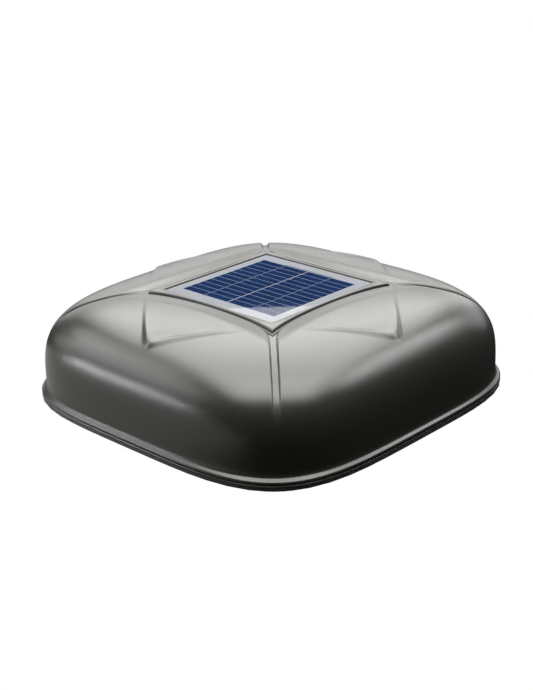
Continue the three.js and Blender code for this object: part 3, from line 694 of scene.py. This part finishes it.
def make_insect_mesh():
    """Woven wire behind the exhaust screen's slots: uprights and hoops, one object for the whole band."""
    low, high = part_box("exhaust_screen")
    base, top = low[2] / MM, high[2] / MM
    rho = (high[0] / MM - MESH_INSET) / HOOD_HALF
    angles = np.linspace(0, 2 * math.pi, 720, endpoint=False)
    radius = oval_radius(rho, angles)
    x, y = radius * np.cos(angles), radius * np.sin(angles)
    run = np.hypot(np.diff(x, append=x[0]), np.diff(y, append=y[0]))
    run = np.concatenate([[0], np.cumsum(run)])
    count = int(run[-1] / MESH_PITCH)
    stops = np.interp(np.arange(count) * run[-1] / count, run, np.append(angles, 2 * math.pi))
    vertices, faces = [], []
    for a in stops:
        r = float(oval_radius(rho, a))
        start = len(vertices)
        out, side = np.array([math.cos(a), math.sin(a)]), np.array([-math.sin(a), math.cos(a)])
        for z in (base, top):
            for i, j in CORNERS:
                p = out * (r + i * WIRE / 2) + side * j * WIRE / 2
                vertices.append((p[0] * MM, p[1] * MM, z * MM))
        faces += [(start, start + 3, start + 2, start + 1), (start + 4, start + 5, start + 6, start + 7)]
        for k in range(4):
            t = (k + 1) % 4
            faces.append((start + k, start + t, start + 4 + t, start + 4 + k))
    around = len(angles)
    for level in np.arange(base + MESH_PITCH / 2, top, MESH_PITCH):
        start = len(vertices)
        for i, j in CORNERS:
            r = radius + (i * WIRE / 2 - WIRE)
            z = np.full(around, level + j * WIRE / 2)
            ring = np.stack([r * np.cos(angles), r * np.sin(angles), z], 1)
            vertices += [tuple(v) for v in ring * MM]
        faces += [f[::-1] for f in ring_faces(4, around, start)]
    mesh = mesh_object("insect_mesh", vertices, faces, "galvanised", flat=True)
    paint(mesh, steel)


make_insect_mesh()

# ---------------------------------------------------------------- the CAD's own pieces

WELD = 0.00001  # metres
FACET_ANGLE = math.radians(32)  # sharper edges than this stay sharp


def numbered(stem, count):
    return " ".join(f"{stem}_{k}" for k in range(1, count + 1))


# Pieces, their material, and how much their edges are eased, in millimetres.
LOOKS = [
    ("lower_ring", ring_plastic, 0.5),
    ("exhaust_screen", galvanised_sheet, 0),
    ("base_flashing", galvanised_sheet, 0.4),
    (numbered("hood_bracket", 4), galvanised_sheet, 0.5),
    ("motor_bracket thermostat_bracket", galvanised_sheet, 0.5),
    (numbered("hood_screw", 4) + " hub_set_screw", steel, 0.3),
    (numbered("motor_screw", 3) + " motor_shaft", steel, 0.3),
    ("front_bearing_outer front_bearing_inner rear_bearing_outer rear_bearing_inner", steel, 0.3),
    (numbered("hood_bracket_rivet", 4), cast_aluminium, 0.3),
    (numbered("motor_bracket_rivet", 4), cast_aluminium, 0.3),
    ("motor_front_bell fan_hub", cast_aluminium, 0.6),
    (numbered("fan_blade", 5), blade_aluminium, 0.5),
    ("motor_can", can_steel, 0.3),
    ("motor_rear_bell junction_box junction_box_lid brush_holder thermostat", black_plastic, 0.5),
    ("panel_lead motor_lead", cable_jacket, 0),
    ("panel_gasket", sealant, 0),
    ("panel_backsheet", backsheet, 0),
    ("magnet_1 magnet_2", ferrite, 0.3),
    ("brush_1 brush_2", carbon, 0.2),
    ("armature_core", laminations(), 0),
    ("armature_winding commutator", copper(), 0.4),
]

for names, look, edge in LOOKS:
    for name in names.split():
        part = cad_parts[name]
        paint(part, look)
        part.modifiers.new("weld", "WELD").merge_threshold = WELD
        if edge:
            bevel(part, edge)
        part.modifiers.new("edges", "EDGE_SPLIT").split_angle = FACET_ANGLE
        part.data.shade_smooth()

# ---------------------------------------------------------------- stage, light and camera

AZIMUTH, ELEVATION, ROLL = (math.radians(a) for a in (44.18, 21.77, -1.65))
ACROSS = Vector((math.cos(AZIMUTH), math.sin(AZIMUTH), 0))
TOWARDS = Vector((math.sin(AZIMUTH), -math.cos(AZIMUTH), 0))
UP = Vector((0, 0, 1))


def soft_box(name, right, towards, height, facing, width, depth, radiance, color=(1, 1, 1)):
    """A rectangular light placed by its offsets in metres to the camera's right, towards it, and up."""
    data = bpy.data.lights.new(name, "AREA")
    data.shape = "RECTANGLE"
    data.size, data.size_y = width, depth
    data.energy = radiance * math.pi * width * depth
    data.color = color
    light = bpy.data.objects.new(name, data)
    light.location = ACROSS * right + TOWARDS * towards + UP * height
    back = -Vector(facing).normalized()
    side = (ACROSS - back * ACROSS.dot(back)).normalized()
    if abs(ACROSS.dot(back)) > 0.7:
        side = TOWARDS.copy()
    light.visible_camera = False
    light.rotation_mode = "QUATERNION"
    light.rotation_quaternion = Matrix((side, back.cross(side), back)).transposed().to_quaternion()
    bpy.context.scene.collection.objects.link(light)


FLOOR_HALF = 4


def make_stage():
    """A white floor that only the camera sees, and only from above."""
    mesh = bpy.data.meshes.new("floor")
    corners = [(-FLOOR_HALF, -FLOOR_HALF, 0), (FLOOR_HALF, -FLOOR_HALF, 0)]
    corners += [(FLOOR_HALF, FLOOR_HALF, 0), (-FLOOR_HALF, FLOOR_HALF, 0)]
    mesh.from_pydata(corners, [], [(0, 1, 2, 3)])
    floor = bpy.data.objects.new("floor", mesh)
    bpy.context.scene.collection.objects.link(floor)
    floor.visible_diffuse = False
    floor.visible_glossy = False
    floor.visible_shadow = False
    m = Nodes("floor_white")
    light = m.add("ShaderNodeEmission", {"Color": grey(1), "Strength": 1.0}).outputs[0]
    clear = m.add("ShaderNodeBsdfTransparent").outputs[0]
    back = m.add("ShaderNodeNewGeometry").outputs["Backfacing"]
    mixed = m.add("ShaderNodeMixShader", {0: back, 1: light, 2: clear}).outputs[0]
    m.put(m.tree.nodes["Material Output"].inputs["Surface"], mixed)
    m.tree.nodes.remove(m.shader)
    floor.data.materials.append(m.material)


ROOM_DARK = grey(0.015)  # what the object sees between the lights


def make_world():
    """White to the camera and nearly black to the object."""
    world = bpy.data.worlds.new("studio")
    world.use_nodes = True
    bpy.context.scene.world = world
    tree = world.node_tree
    backdrop = tree.nodes["Background"]
    dim = tree.nodes.new("ShaderNodeBackground")
    dim.inputs["Color"].default_value = ROOM_DARK
    backdrop.inputs["Color"].default_value = grey(1)
    path = tree.nodes.new("ShaderNodeLightPath")
    pick = tree.nodes.new("ShaderNodeMixShader")
    tree.links.new(path.outputs["Is Camera Ray"], pick.inputs[0])
    tree.links.new(dim.outputs[0], pick.inputs[1])
    tree.links.new(backdrop.outputs[0], pick.inputs[2])
    tree.links.new(pick.outputs[0], tree.nodes["World Output"].inputs["Surface"])


make_stage()
make_world()

WARM = (1.0, 0.99, 0.95)
LEFT_WALL, RIGHT_WALL = -1.9, 1.9
soft_box("overhead", 0, -0.88, 1.9, -UP, 3.1, 4.04, 6.6, WARM)
soft_box("front_top", 0, 0.4, 1.88, -UP, 2.2, 1.1, 2.4, WARM)
soft_box("back_high", 0, -2.5, 1.75, TOWARDS, 3.6, 1.2, 1.6)
soft_box("back_middle", 0, -2.5, 0.72, TOWARDS, 3.6, 0.36, 2.8)
soft_box("back_low", 0, -2.5, 0.3, TOWARDS, 3.6, 0.48, 1.2)
soft_box("left_low", LEFT_WALL, -0.4, 0.5, ACROSS - UP * 0.25, 1.6, 0.5, 1.3)
soft_box("left_middle", LEFT_WALL, -0.1, 1.0, ACROSS - UP * 0.45, 1.2, 0.6, 3.9)
soft_box("left_high", LEFT_WALL, -0.7, 1.45, ACROSS - UP * 0.65, 1.2, 0.6, 4.0)
soft_box("right_back", 1.7, -1.7, 0.85, TOWARDS - ACROSS - UP * 0.4, 1.6, 1.0, 1.8)
soft_box("right_middle", RIGHT_WALL, -0.4, 1.3, -ACROSS - UP * 0.65, 1.4, 0.4, 2.8)
soft_box("right_high", RIGHT_WALL, -0.4, 1.7, -ACROSS - UP * 0.85, 1.4, 0.4, 9.8)
soft_box("left_floor", -1.4, 0.2, 0.02, UP + ACROSS * 0.2, 1.8, 1.8, 0.6, WARM)
soft_box("stripe", -1.5, 0.16, 0.16, ACROSS, 0.62, 0.03, 70)
soft_box("below", 0, 0, -0.7, UP, 1.0, 1.0, 1.6)

DISTANCE = 2.1656
FOCAL = 1.88608696  # the lens's focal length as a share of the picture's height
ASIDE, AIM_Z = -0.00663, 0.0953  # the point aimed at, off the axis and above the deck


def make_camera():
    back = TOWARDS * math.cos(ELEVATION) + UP * math.sin(ELEVATION)
    upright = back.cross(ACROSS)
    right = ACROSS * math.cos(ROLL) + upright * math.sin(ROLL)
    upright = upright * math.cos(ROLL) - ACROSS * math.sin(ROLL)
    camera = bpy.data.objects.new("camera", bpy.data.cameras.new("camera"))
    camera.data.sensor_width = 36
    camera.data.lens = camera.data.sensor_width * FOCAL
    camera.rotation_mode = "QUATERNION"
    camera.rotation_quaternion = Matrix((right, upright, back)).transposed().to_quaternion()
    camera.location = ACROSS * ASIDE + UP * AIM_Z + back * DISTANCE
    bpy.context.scene.collection.objects.link(camera)
    bpy.context.scene.camera = camera


make_camera()
bpy.context.scene.view_settings.view_transform = "Standard"
